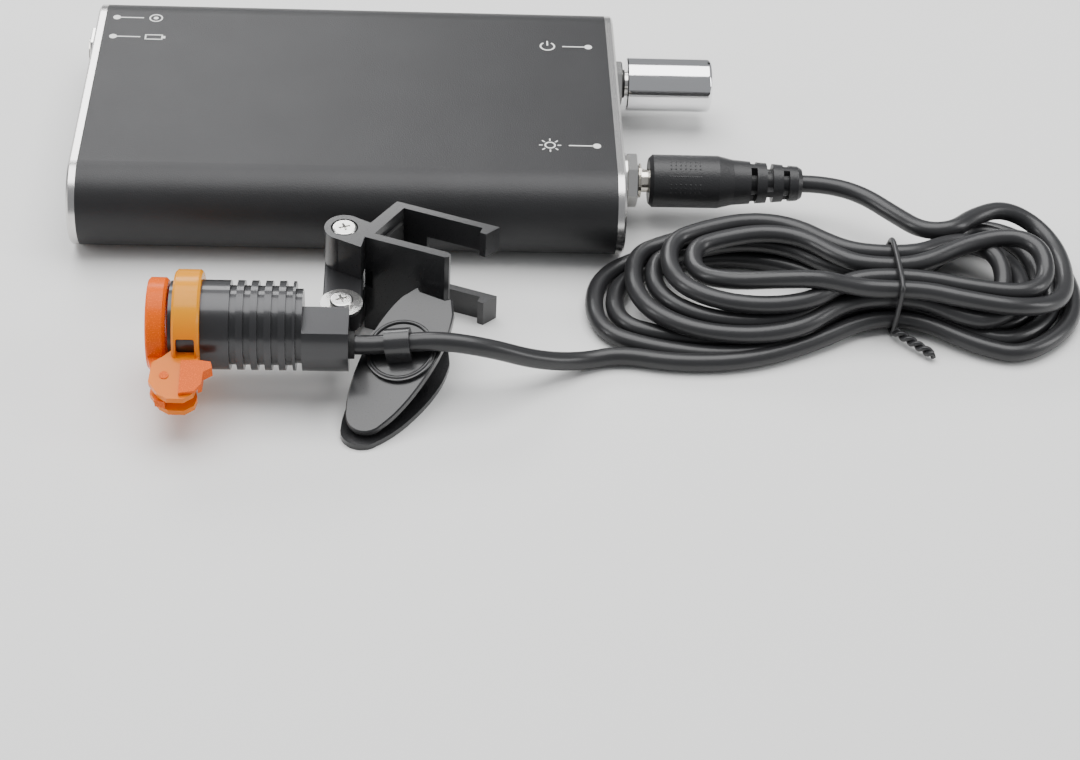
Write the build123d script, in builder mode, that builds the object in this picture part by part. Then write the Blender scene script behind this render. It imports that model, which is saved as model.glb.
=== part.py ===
"""Clip-on LED headlight for dental loupes: battery pack, cord with hank and cord clip, lamp with a
flip filter, and the jointed bracket that snaps on the loupes' frame. Millimetres, +Z up.
The origin is on the floor under the middle of the battery pack. The lamp shines toward -X."""

import os
from math import cos, pi, radians, sin, tan

from build123d import *

os.makedirs("parts", exist_ok=True)

# ---- driving dimensions: battery pack ----
PACK_LENGTH, PACK_WIDTH, PACK_HEIGHT = 128.0, 84.0, 21.5
WALL, END_PLATE, RIM = 1.3, 2.0, 0.5
PACK_MID = PACK_HEIGHT / 2
SHELL_LENGTH = PACK_LENGTH - 2 * END_PLATE
FACE_X = PACK_LENGTH / 2
SCREW_Y = 38.2
SCREW_HOLE_R, SCREW_R, SCREW_HEAD_R = 1.0, 0.98, 1.9
CELL_R, CELL_LENGTH, CELL_X = 9.1, 65.0, -22.0
CELL_YS = (-25.4, -6.8)
KNOB_Y, JACK_Y = 20.3, -20.2
KNOB_R, KNOB_START, KNOB_END = 6.65, 67.4, 88.6
SHAFT_R, SHAFT_CLEARANCE = 3.0, 0.05
BUSHING_R, NECK_R = 3.5, 4.0
CHARGE_Y, LED_Y = 28.5, 20.2

# ---- driving dimensions: lamp ----
LAMP_Y, LAMP_Z, LAMP_R = -81.6, 15.5, 9.65
LAMP_FRONT, LAMP_REAR = -35.3, 1.7
FIN_START, FIN_PITCH, FIN_GAP, FIN_DEPTH, FIN_COUNT = -23.6, 2.98, 1.5, 1.1, 5
BLOCK_START = -8.2
FLAT_HEIGHT, STEP_Y, STEP_DROP = 4.9, 0.7, 3.35
OPTIC_R = 8.0

# ---- driving dimensions: filter ----
RING_FRONT, RING_REAR, RING_R = -35.4, -29.6, 11.8
FILTER_TILT = 12.0
PIN_X, PIN_REACH, PIN_R = -36.6, 16.0, 0.95
EAR_HALF, SLOT_HALF, ARM_HALF = 2.9, 1.35, 1.05
DISC_FRONT, DISC_REAR, DISC_R = -41.1, -36.9, 10.0

# ---- driving dimensions: link and bracket ----
LOWER_PIVOT, UPPER_PIVOT = (-0.2, -76.0), (0.0, -60.2)
LINK_BOTTOM, LINK_TOP, LINK_WIDTH = 12.3, 16.9, 8.5
BRACKET_HEIGHT, BRACKET_ANGLE = 26.0, -21.0
LUG_R, LUG_HEIGHT = 4.4, 9.0
PIVOT_SCREW_R, PIVOT_HOLE_R = 1.25, 1.3

# ---- driving dimensions: cord clip ----
DISC_CENTRE = (12.9, -84.2, 10.95)
CLIP_HEADING, CLIP_TILT = 62.0, 21.0
JAW_THICK, LOWER_THICK = 1.6, 1.4
SWIVEL_R, SWIVEL_THICK, SWIVEL_GAP = 7.75, 0.75, 0.15
STUB_R = 3.0
STRAP_WIDTH = 5.4
CORD_RISE = 3.5

# ---- driving dimensions: cord ----
CORD_R = 2.1
CORD_BED, TAIL_HEIGHT = 2.2, 10.2
PLUG_START, PLUG_END = 70.5, 107.0


def save(part, name):
    """Label a finished piece and write it."""
    part.label = name
    export_step(part, f"parts/{name}.step")


def slot_at(x, margin=0.0):
    """The pack's stadium section on the plane at x, smaller all round by margin."""
    with BuildSketch(Plane.YZ.offset(x)) as section:
        with Locations((0, PACK_MID)):
            SlotOverall(PACK_WIDTH - 2 * margin, PACK_HEIGHT - 2 * margin)
    return section.sketch


# ================= battery pack =================
with BuildPart() as pack_shell:
    with BuildSketch(Plane.YZ.offset(-SHELL_LENGTH / 2)):
        with Locations((0, PACK_MID)):
            SlotOverall(PACK_WIDTH, PACK_HEIGHT)
            SlotOverall(PACK_WIDTH - 2 * WALL, PACK_HEIGHT - 2 * WALL, mode=Mode.SUBTRACT)
        with Locations((-SCREW_Y, PACK_MID), (SCREW_Y, PACK_MID)):
            Circle(2.8)
            Circle(SCREW_HOLE_R, mode=Mode.SUBTRACT)
    extrude(amount=SHELL_LENGTH)
save(pack_shell.part, "pack_shell")


def end_plate(side, holes):
    """A stadium plate with a bright chamfered rim, two countersunk screws and (y, radius) holes."""
    with BuildPart() as plate:
        extrude(slot_at(side * (FACE_X - RIM)), amount=-side * (END_PLATE - RIM))
        loft([slot_at(side * (FACE_X - RIM)), slot_at(side * FACE_X, RIM)])
        for y, radius in holes:
            with BuildSketch(Plane.YZ.offset(side * (FACE_X + 1))):
                with Locations((y, PACK_MID)):
                    Circle(radius)
            extrude(amount=-side * (END_PLATE + 2), mode=Mode.SUBTRACT)
        for y in (-SCREW_Y, SCREW_Y):
            with BuildSketch(Plane.YZ.offset(side * FACE_X)):
                with Locations((y, PACK_MID)):
                    Circle(SCREW_HEAD_R + 0.05)
            extrude(amount=-side * 1.0, mode=Mode.SUBTRACT)
            with BuildSketch(Plane.YZ.offset(side * FACE_X)):
                with Locations((y, PACK_MID)):
                    Circle(SCREW_R + 0.1)
            extrude(amount=-side * (END_PLATE + 1), mode=Mode.SUBTRACT)
    return plate.part


save(end_plate(1, ((KNOB_Y, BUSHING_R + 0.1), (JACK_Y, NECK_R + 0.1))), "end_plate_right")
save(end_plate(-1, ((CHARGE_Y, NECK_R + 0.1), (LED_Y, 1.6))), "end_plate_left")

with BuildPart() as end_plate_screws:
    for side in (-1, 1):
        for y in (-SCREW_Y, SCREW_Y):
            with BuildSketch(Plane.YZ.offset(side * (FACE_X - 0.1))):
                with Locations((y, PACK_MID)):
                    Circle(SCREW_HEAD_R)
                    Rectangle(2.4, 0.5, mode=Mode.SUBTRACT)
                    Rectangle(0.5, 2.4, mode=Mode.SUBTRACT)
            extrude(amount=-side * 0.6)
            with BuildSketch(Plane.YZ.offset(side * (FACE_X - 0.7))):
                with Locations((y, PACK_MID)):
                    Circle(SCREW_HEAD_R)
            extrude(amount=-side * 0.3)
            with BuildSketch(Plane.YZ.offset(side * (FACE_X - 1.0))):
                with Locations((y, PACK_MID)):
                    Circle(SCREW_R)
            extrude(amount=-side * 7.0)
save(end_plate_screws.part, "end_plate_screws")


def battery_cell(y):
    """One cylindrical cell: steel can, shoulder groove and raised positive button."""
    half = CELL_LENGTH / 2
    with BuildPart() as cell:
        with BuildSketch(Plane.XY):
            with BuildLine():
                Polyline(
                    (-half, 0), (-half, CELL_R - 0.5), (-half + 0.5, CELL_R), (half - 4.5, CELL_R),
                    (half - 4.0, CELL_R - 0.5), (half - 3.5, CELL_R), (half - 1.5, CELL_R),
                    (half - 1.0, CELL_R - 0.6), (half - 1.0, 3.2), (half, 3.0), (half, 0), (-half, 0),
                )
            make_face()
        revolve(axis=Axis.X)
    return Pos(CELL_X, y, PACK_MID) * cell.part


for number, cell_y in enumerate(CELL_YS, start=1):
    save(battery_cell(cell_y), f"battery_cell_{number}")

HOLDER_Y = sum(CELL_YS) / 2
HOLDER_ENDS = (CELL_X - CELL_LENGTH / 2, CELL_X + CELL_LENGTH / 2)
with BuildPart() as cell_holder:
    for x, direction in zip(HOLDER_ENDS, (-1, 1)):
        with BuildSketch(Plane.YZ.offset(x)):
            with Locations((HOLDER_Y, PACK_MID)):
                SlotOverall(37.0, 17.6)
        extrude(amount=direction * 2.4)
    with BuildSketch(Plane.YZ.offset(HOLDER_ENDS[0])):
        with Locations((HOLDER_Y, PACK_MID + 7.4), (HOLDER_Y, PACK_MID - 7.4)):
            Rectangle(5.0, 2.4)
    extrude(amount=CELL_LENGTH)
save(cell_holder.part, "cell_holder")

BOARD_X, BOARD_END, BOARD_Z, BOARD_THICK = 17.0, 47.0, 4.2, 1.6
POSTS = [(x, y) for x in (BOARD_X + 3, BOARD_END - 3) for y in (-28, 28)]
with BuildPart() as circuit_board:
    with BuildSketch(Plane.XY.offset(BOARD_Z)):
        with Locations(((BOARD_X + BOARD_END) / 2, 0)):
            RectangleRounded(BOARD_END - BOARD_X, 64, 1.5)
    extrude(amount=BOARD_THICK)
save(circuit_board.part, "circuit_board")

with BuildPart() as board_posts:
    with BuildSketch(Plane.XY.offset(WALL)):
        with Locations(*POSTS):
            Circle(2.2)
    extrude(amount=BOARD_Z - WALL)
save(board_posts.part, "board_posts")

BOARD_TOP = BOARD_Z + BOARD_THICK
CHIPS = ((25, -20, 7, 5, 1.6), (25, -8, 5, 5, 1.4), (38, 6, 6, 9, 2.2), (24, 14, 4, 3, 1.2))
with BuildPart() as board_components:
    for x, y, dx, dy, dz in CHIPS:
        with BuildSketch(Plane.XY.offset(BOARD_TOP)):
            with Locations((x, y)):
                Rectangle(dx, dy)
        extrude(amount=dz)
    with BuildSketch(Plane.XY.offset(BOARD_TOP)):
        with Locations((38, -18), (38, -6)):
            Circle(4.0)
    extrude(amount=7.5)
save(board_components.part, "board_components")


def lead(points):
    """A short insulated wire along rounded runs."""
    with BuildPart() as wire:
        with BuildLine() as path:
            FilletPolyline(*points, radius=1.2)
        with BuildSketch(Plane(origin=path.line @ 0, z_dir=path.line % 0)):
            Circle(0.6)
        sweep(path=path.line)
    return wire.part


LEAD_FROM, LEAD_DOWN = HOLDER_ENDS[1] + 2.4, BOARD_TOP + 0.8
with BuildPart() as battery_leads:
    for y in CELL_YS:
        add(lead([(LEAD_FROM, y, 12), (LEAD_FROM + 4.3, y, 12), (LEAD_FROM + 7, y - 2.5, LEAD_DOWN)]))
save(battery_leads.part, "battery_leads")

SHAFT_HOLE_R = SHAFT_R + SHAFT_CLEARANCE
with BuildPart() as dimmer_body:
    with BuildSketch(Plane.YZ.offset(51.0)):
        with Locations((KNOB_Y, PACK_MID)):
            RectangleRounded(16.0, 15.0, 1.5)
    extrude(amount=10.9)
    with BuildSketch(Plane.YZ.offset(61.9)):
        with Locations((KNOB_Y, PACK_MID)):
            Circle(BUSHING_R)
    extrude(amount=5.0)
    with BuildSketch(Plane.YZ.offset(58.0)):
        with Locations((KNOB_Y, PACK_MID)):
            Circle(SHAFT_HOLE_R)
    extrude(amount=10.0, mode=Mode.SUBTRACT)
save(dimmer_body.part, "dimmer_body")


def panel_nut(x, y, hole_r, flats, thickness, direction=1):
    """A chamfered hexagon nut standing on the plane at x."""
    with BuildPart() as nut:
        with BuildSketch(Plane.YZ.offset(x)):
            with Locations((y, PACK_MID)):
                RegularPolygon(radius=flats / 2, side_count=6, major_radius=False)
        extrude(amount=direction * thickness)
        chamfer(nut.edges().filter_by(Axis.X, reverse=True), 0.25)
        with BuildSketch(Plane.YZ.offset(x)):
            with Locations((y, PACK_MID)):
                Circle(hole_r)
        extrude(amount=direction * thickness, mode=Mode.SUBTRACT)
    return nut.part


save(panel_nut(FACE_X, KNOB_Y, BUSHING_R + 0.02, 9.6, 2.3), "dimmer_nut")
save(panel_nut(FACE_X + 1.2, JACK_Y, NECK_R + 0.02, 11.0, 2.6), "output_nut")

with BuildPart() as dimmer_shaft:
    with BuildSketch(Plane.YZ.offset(58.5)):
        with Locations((KNOB_Y, PACK_MID)):
            Circle(SHAFT_R)
    extrude(amount=20.5)
save(dimmer_shaft.part, "dimmer_shaft")

with BuildPart() as dimmer_knob:
    with BuildSketch(Plane.YZ.offset(KNOB_START)):
        with Locations((KNOB_Y, PACK_MID)):
            Circle(KNOB_R)
    extrude(amount=KNOB_END - KNOB_START)
    fillet(dimmer_knob.edges().sort_by(Axis.X)[-1], 1.1)
    chamfer(dimmer_knob.edges().sort_by(Axis.X)[0], 0.3)
    with BuildSketch(Plane.YZ.offset(KNOB_START)):
        with Locations((KNOB_Y, PACK_MID)):
            Circle(SHAFT_R + 0.02)
    extrude(amount=12.0, mode=Mode.SUBTRACT)
    with BuildSketch(Plane.YZ.offset(KNOB_END)):
        with Locations((KNOB_Y, PACK_MID + KNOB_R - 1.0)):
            Rectangle(0.9, 3.0)
    extrude(amount=-1.2, mode=Mode.SUBTRACT)
    with BuildSketch(Plane.XY):
        with Locations((KNOB_START + 4.0, KNOB_Y)):
            Circle(1.26)
    extrude(amount=PACK_MID, mode=Mode.SUBTRACT)
save(dimmer_knob.part, "dimmer_knob")

with BuildPart() as knob_set_screw:
    with BuildSketch(Plane.XY.offset(PACK_MID - KNOB_R + 0.2)):
        with Locations((KNOB_START + 4.0, KNOB_Y)):
            Circle(1.24)
            RegularPolygon(radius=0.6, side_count=6, mode=Mode.SUBTRACT)
    extrude(amount=1.2)
    with BuildSketch(Plane.XY.offset(PACK_MID - KNOB_R + 1.4)):
        with Locations((KNOB_START + 4.0, KNOB_Y)):
            Circle(1.24)
    extrude(amount=2.0)
save(knob_set_screw.part, "knob_set_screw")


def barrel_jack(back, shoulder, mouth, y, bore_r, pin_r):
    """A panel socket: body behind the plate, threaded neck through it, bore with a centre pin."""
    direction = 1 if mouth > back else -1
    with BuildPart() as jack:
        for start, end, radius in ((back, shoulder, 5.6), (shoulder, mouth, NECK_R)):
            with BuildSketch(Plane.YZ.offset(start)):
                with Locations((y, PACK_MID)):
                    Circle(radius)
            extrude(amount=end - start)
        with BuildSketch(Plane.YZ.offset(mouth)):
            with Locations((y, PACK_MID)):
                Circle(bore_r)
                Circle(pin_r, mode=Mode.SUBTRACT)
        extrude(amount=-direction * 9.5, mode=Mode.SUBTRACT)
        with BuildSketch(Plane.YZ.offset(mouth)):
            with Locations((y, PACK_MID)):
                Circle(pin_r + 0.2)
        extrude(amount=-direction * 1.5, mode=Mode.SUBTRACT)
    return jack.part


INNER_FACE = FACE_X - END_PLATE - 0.1
save(barrel_jack(48.5, INNER_FACE, 68.6, JACK_Y, 3.1, 1.0), "output_jack")
save(barrel_jack(-50.0, -INNER_FACE, -66.4, CHARGE_Y, 3.1, 1.0), "charge_jack")
save(panel_nut(-FACE_X, CHARGE_Y, NECK_R + 0.02, 11.0, 2.0, -1), "charge_nut")

with BuildPart() as output_washer:
    with BuildSketch(Plane.YZ.offset(FACE_X)):
        with Locations((JACK_Y, PACK_MID)):
            Circle(6.3)
            Circle(NECK_R + 0.05, mode=Mode.SUBTRACT)
    extrude(amount=1.15)
save(output_washer.part, "output_washer")

with BuildPart() as charge_indicator:
    with BuildSketch(Plane.YZ.offset(-(FACE_X + 0.2))):
        with Locations((LED_Y, PACK_MID)):
            Circle(1.5)
    extrude(amount=6.0)
    fillet(charge_indicator.edges().sort_by(Axis.X)[0], 0.6)
    with BuildSketch(Plane.YZ.offset(-(FACE_X - END_PLATE - 0.2))):
        with Locations((LED_Y, PACK_MID)):
            Circle(2.1)
    extrude(amount=1.2)
save(charge_indicator.part, "charge_indicator")

# ================= cord direction through the clip =================
HEAD = (cos(radians(CLIP_HEADING)), sin(radians(CLIP_HEADING)))
ACROSS = (HEAD[1], -HEAD[0])
TILT = radians(CLIP_TILT)
PLATE_NORMAL = Vector(-sin(TILT) * HEAD[0], -sin(TILT) * HEAD[1], cos(TILT))
HOLD = Vector(*DISC_CENTRE) + PLATE_NORMAL * CORD_RISE
CORD_DIR = (Vector(1, 0, 0) - PLATE_NORMAL * PLATE_NORMAL.X).normalized()
BEFORE_CLIP = HOLD - CORD_DIR * 6.0
AFTER_CLIP = HOLD + CORD_DIR * 9.0
EXIT_Y, EXIT_Z = BEFORE_CLIP.Y, BEFORE_CLIP.Z

# ================= lamp =================
LAMP_PLANE = Plane(origin=(0, LAMP_Y, LAMP_Z), x_dir=(1, 0, 0), z_dir=(0, -1, 0))
LAMP_AXIS = Axis((0, LAMP_Y, LAMP_Z), (1, 0, 0))


def turned(points):
    """A solid of revolution about the lamp's axis from (x, radius) points."""
    with BuildPart() as piece:
        with BuildSketch(LAMP_PLANE):
            with BuildLine():
                Polyline(*points, close=True)
            make_face()
        revolve(axis=LAMP_AXIS)
    return piece.part


with BuildPart() as lamp_body:
    add(turned([(LAMP_FRONT, OPTIC_R), (LAMP_FRONT, LAMP_R), (BLOCK_START - 1.4, LAMP_R),
                (BLOCK_START - 1.4, LAMP_R - 1.6), (BLOCK_START, LAMP_R - 1.6), (BLOCK_START, 0),
                (-20.8, 0), (-20.8, OPTIC_R)]))
    for fin in range(FIN_COUNT):
        start = FIN_START + fin * FIN_PITCH
        add(turned([(start, LAMP_R - FIN_DEPTH), (start + FIN_GAP, LAMP_R - FIN_DEPTH),
                    (start + FIN_GAP, LAMP_R + 1), (start, LAMP_R + 1)]), mode=Mode.SUBTRACT)
    with BuildSketch(Plane.YZ.offset(BLOCK_START)):
        with Locations((EXIT_Y, EXIT_Z)):
            Circle(1.2)
    extrude(amount=-14, mode=Mode.SUBTRACT)
    chamfer(lamp_body.edges().group_by(Axis.X)[0].sort_by(SortBy.RADIUS)[-1], 0.3)
save(lamp_body.part, "lamp_body")

with BuildPart() as lamp_block:
    with BuildSketch(Plane.YZ.offset(BLOCK_START)):
        with Locations((LAMP_Y, LAMP_Z)):
            Circle(LAMP_R)
        with Locations((LAMP_Y, LAMP_Z + FLAT_HEIGHT + 5)):
            Rectangle(30, 10, mode=Mode.SUBTRACT)
        with Locations((LAMP_Y + STEP_Y + 10, LAMP_Z - STEP_DROP + 10)):
            Rectangle(20, 20, mode=Mode.SUBTRACT)
    extrude(amount=LAMP_REAR - BLOCK_START)
    with BuildSketch(Plane.XY.offset(LAMP_Z - STEP_DROP)):
        with Locations(LOWER_PIVOT):
            Circle(PIVOT_SCREW_R + 0.02)
    extrude(amount=-3.8, mode=Mode.SUBTRACT)
    with BuildSketch(Plane.YZ.offset(LAMP_REAR)):
        with Locations((EXIT_Y, EXIT_Z)):
            Circle(2.6)
    extrude(amount=-3.0, mode=Mode.SUBTRACT)
    with BuildSketch(Plane.YZ.offset(LAMP_REAR - 3.0)):
        with Locations((EXIT_Y, EXIT_Z)):
            Circle(1.2)
    extrude(amount=-8.0, mode=Mode.SUBTRACT)
save(lamp_block.part, "lamp_block")

save(turned([(-36.4, 7.4), (-36.4, 9.3), (-35.3, 9.3), (-35.3, 7.95), (-33.6, 7.95), (-33.6, 7.4)]),
     "lamp_bezel")
save(turned([(-33.5, 6.9), (-33.5, 7.9), (-32.7, 7.9), (-32.7, 6.9)]), "lens_seal")

with BuildPart() as lamp_lens:
    with BuildSketch(Plane.YZ.offset(-36.0)):
        with Locations((LAMP_Y, LAMP_Z)):
            Circle(6.8)
    extrude(amount=3.4)
    with Locations((-23.7, LAMP_Y, LAMP_Z)):
        Sphere(11.2, mode=Mode.INTERSECT)
    with BuildSketch(Plane.YZ.offset(-32.6)):
        with Locations((LAMP_Y, LAMP_Z)):
            Circle(7.9)
    extrude(amount=2.4)
save(lamp_lens.part, "lamp_lens")

save(turned([(-30.1, 7.0), (-30.1, 7.9), (-22.5, 7.9), (-22.5, 2.6), (-24.0, 2.6)]), "lamp_reflector")
save(turned([(-22.4, 0), (-22.4, 7.9), (-20.9, 7.9), (-20.9, 0)]), "emitter_board")

with BuildPart() as led_emitter:
    with BuildSketch(Plane.YZ.offset(-22.4)):
        with Locations((LAMP_Y, LAMP_Z)):
            Rectangle(3.4, 3.4)
    extrude(amount=-0.7)
    with BuildSketch(LAMP_PLANE):
        with BuildLine():
            Line((-23.1, 0), (-23.1, 1.3))
            ThreePointArc((-23.1, 1.3), (-23.1 - 1.3 * cos(radians(45)), 1.3 * sin(radians(45))), (-24.4, 0))
            Line((-24.4, 0), (-23.1, 0))
        make_face()
    revolve(axis=LAMP_AXIS)
save(led_emitter.part, "led_emitter")

with BuildPart() as cable_grommet:
    with BuildSketch(Plane.YZ.offset(LAMP_REAR)):
        with Locations((EXIT_Y, EXIT_Z)):
            Circle(3.0)
    extrude(amount=1.2)
    with BuildSketch(Plane.YZ.offset(LAMP_REAR)):
        with Locations((EXIT_Y, EXIT_Z)):
            Circle(2.55)
    extrude(amount=-2.8)
save(cable_grommet.part, "cable_grommet")

# ================= filter =================
EAR_OUT = (0, -cos(radians(FILTER_TILT)), -sin(radians(FILTER_TILT)))
HINGE_DIR = (0, -sin(radians(FILTER_TILT)), cos(radians(FILTER_TILT)))
# Sketch frame of the filter: local x is the row's X, local y is outward along the ear.
EAR_PLANE = Plane(origin=(0, LAMP_Y, LAMP_Z), x_dir=(1, 0, 0), z_dir=tuple(-c for c in HINGE_DIR))


def ear_slab(points, low, high):
    """A prism from (x, outward) points between two heights along the hinge."""
    with BuildPart() as slab:
        with BuildSketch(EAR_PLANE.offset(-high)):
            with BuildLine():
                Polyline(*points, close=True)
            make_face()
        extrude(amount=high - low)
    return slab.part


def hinge_rod(reach, x, radius, low, high):
    """A rod along the hinge direction."""
    with BuildPart() as rod:
        with BuildSketch(EAR_PLANE.offset(-high)):
            with Locations((x, reach)):
                Circle(radius)
        extrude(amount=high - low)
    return rod.part


CHEEK = [(-35.2, 9.0), (-37.4, 11.2), (-39.4, 12.6), (-39.8, 17.6), (-37.6, 20.8), (-35.6, 22.0),
         (-32.2, 22.0), (-30.2, 20.6), (-29.7, 18.6), (-30.4, 15.0), (-29.7, 12.0), (-29.7, 9.0)]
SLOT = [(-42, 8.0), (-42, 24.0), (-29, 24.0), (-29, 13.4), (-33.6, 13.4), (-33.6, 11.9), (-35.5, 11.9),
        (-35.5, 8.0)]
with BuildPart() as filter_ring:
    add(ear_slab(CHEEK, -EAR_HALF, EAR_HALF))
    add(ear_slab(SLOT, -SLOT_HALF, SLOT_HALF), mode=Mode.SUBTRACT)
    add(turned([(RING_FRONT, LAMP_R), (RING_FRONT, RING_R - 0.5), (RING_FRONT + 0.5, RING_R),
                (RING_REAR - 0.5, RING_R), (RING_REAR, RING_R - 0.5), (RING_REAR, LAMP_R)]))
    add(turned([(RING_FRONT - 5, 0), (RING_FRONT - 5, LAMP_R + 0.1),
                (RING_REAR + 5, LAMP_R + 0.1), (RING_REAR + 5, 0)]), mode=Mode.SUBTRACT)
    add(hinge_rod(PIN_REACH, PIN_X, PIN_R + 0.02, -6, 6), mode=Mode.SUBTRACT)
    # window in the near wall and split at the far side, where the ring springs open
    with BuildSketch(LAMP_PLANE.offset(0)):
        with Locations(((RING_FRONT + RING_REAR) / 2, 2.6)):
            RectangleRounded(4.0, 4.4, 0.5)
    extrude(amount=14, mode=Mode.SUBTRACT)
    with BuildSketch(Plane.XZ.offset(-(LAMP_Y + 5))):
        with Locations((-32.5, LAMP_Z + 1.0)):
            Rectangle(12, 1.2)
    extrude(amount=-12, mode=Mode.SUBTRACT)
save(filter_ring.part, "filter_ring")

with BuildPart() as filter_pin:
    add(hinge_rod(PIN_REACH, PIN_X, PIN_R, -EAR_HALF - 0.2, EAR_HALF + 0.2))
save(filter_pin.part, "filter_pin")

with BuildPart() as filter_latch:
    add(ear_slab([(-33.2, 12.6), (-28.6, 12.6), (-28.6, 18.6), (-30.0, 20.6), (-33.2, 21.2)],
                 EAR_HALF + 0.05, EAR_HALF + 0.95))
    add(ear_slab([(-29.4, 12.6), (-27.0, 12.9), (-26.6, 14.4), (-28.4, 15.6), (-28.6, 18.6), (-29.4, 19.0)],
                 EAR_HALF - 2.0, EAR_HALF + 0.95))
save(filter_latch.part, "filter_latch")

DISC_EDGE = 9.3
ARM = [(-40.9, DISC_EDGE), (-36.95, DISC_EDGE), (-34.8, PIN_REACH), (-35.6, PIN_REACH + 1.9),
       (-36.2, PIN_REACH + 5.6), (-38.4, PIN_REACH + 5.2), (-38.9, PIN_REACH)]
with BuildPart() as filter_frame:
    add(turned([(DISC_FRONT, 8.4), (DISC_FRONT, DISC_R - 0.4), (DISC_FRONT + 0.4, DISC_R),
                (DISC_REAR - 0.6, DISC_R), (DISC_REAR, DISC_R - 0.6), (DISC_REAR, 8.4)]))
    add(ear_slab(ARM, -ARM_HALF, ARM_HALF))
    add(hinge_rod(PIN_REACH, PIN_X, 2.3, -ARM_HALF, ARM_HALF))
    add(hinge_rod(PIN_REACH, PIN_X, PIN_R + 0.04, -6, 6), mode=Mode.SUBTRACT)
save(filter_frame.part, "filter_frame")
save(turned([(-40.2, 0), (-40.2, 8.38), (-37.8, 8.38), (-37.8, 0)]), "filter_glass")

# ================= link and bracket =================
with BuildPart() as link_arm:
    with BuildSketch(Plane.XY.offset(LINK_BOTTOM)):
        with Locations((-0.1, (LOWER_PIVOT[1] + UPPER_PIVOT[1]) / 2)):
            SlotCenterToCenter(UPPER_PIVOT[1] - LOWER_PIVOT[1], LINK_WIDTH, rotation=90)
        with Locations(LOWER_PIVOT):
            Circle(PIVOT_HOLE_R, mode=Mode.SUBTRACT)
        with Locations(UPPER_PIVOT):
            Circle(PIVOT_SCREW_R, mode=Mode.SUBTRACT)
    extrude(amount=LINK_TOP - LINK_BOTTOM)
    chamfer(link_arm.faces().sort_by(Axis.Z)[-1].outer_wire().edges(), 0.25)
save(link_arm.part, "link_arm")

with BuildPart() as pivot_washer:
    with BuildSketch(Plane.XY.offset(LINK_TOP + 0.05)):
        with Locations(LOWER_PIVOT):
            Circle(4.6)
            Circle(PIVOT_SCREW_R + 0.02, mode=Mode.SUBTRACT)
    extrude(amount=0.7)
save(pivot_washer.part, "pivot_washer")


def pan_screw(centre, seat, head_r, length):
    """A pan-head screw with a cross recess, its head's underside at seat."""
    with BuildPart() as screw:
        with BuildSketch(Plane.XY.offset(seat)):
            with Locations(centre):
                Circle(head_r)
        extrude(amount=1.1)
        fillet(screw.edges().sort_by(Axis.Z)[-1], 0.55)
        with BuildSketch(Plane.XY.offset(seat + 1.1)):
            with Locations(centre):
                Rectangle(2.6, 0.55, rotation=20)
                Rectangle(0.55, 2.6, rotation=20)
        extrude(amount=-0.6, mode=Mode.SUBTRACT)
        with BuildSketch(Plane.XY.offset(seat)):
            with Locations(centre):
                Circle(PIVOT_SCREW_R)
        extrude(amount=-length)
    return screw.part


save(pan_screw(LOWER_PIVOT, LINK_TOP + 0.75, 2.6, 8.6), "lower_pivot_screw")
LUG_SINK = 1.0
save(pan_screw(UPPER_PIVOT, BRACKET_HEIGHT - LUG_SINK + 0.06, 2.8, 21.0), "upper_pivot_screw")

ARM_DIR = (cos(radians(BRACKET_ANGLE)), sin(radians(BRACKET_ANGLE)), 0)
BRACKET_PLANE = Plane(origin=(*UPPER_PIVOT, 0), x_dir=ARM_DIR, z_dir=(0, 0, 1))
NEAR_OUT, NEAR_IN, FAR_IN, FAR_OUT = -1.4, 0.5, 11.5, 13.2
NEAR_END, FAR_END, WALL_START = 25.0, 31.5, 6.4
FINGER, FINGER_ROOT = 6.4, 15.0


def bracket_prism(points, low, high):
    """A prism from points in the bracket's own plan frame."""
    with BuildPart() as prism:
        with BuildSketch(BRACKET_PLANE.offset(low)):
            with BuildLine():
                Polyline(*points, close=True)
            make_face()
        extrude(amount=high - low)
    return prism.part


def pivot_drum(radius, low, high):
    """A cylinder about the upper pivot."""
    with BuildPart() as drum:
        with BuildSketch(BRACKET_PLANE.offset(low)):
            Circle(radius)
        extrude(amount=high - low)
    return drum.part


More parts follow.
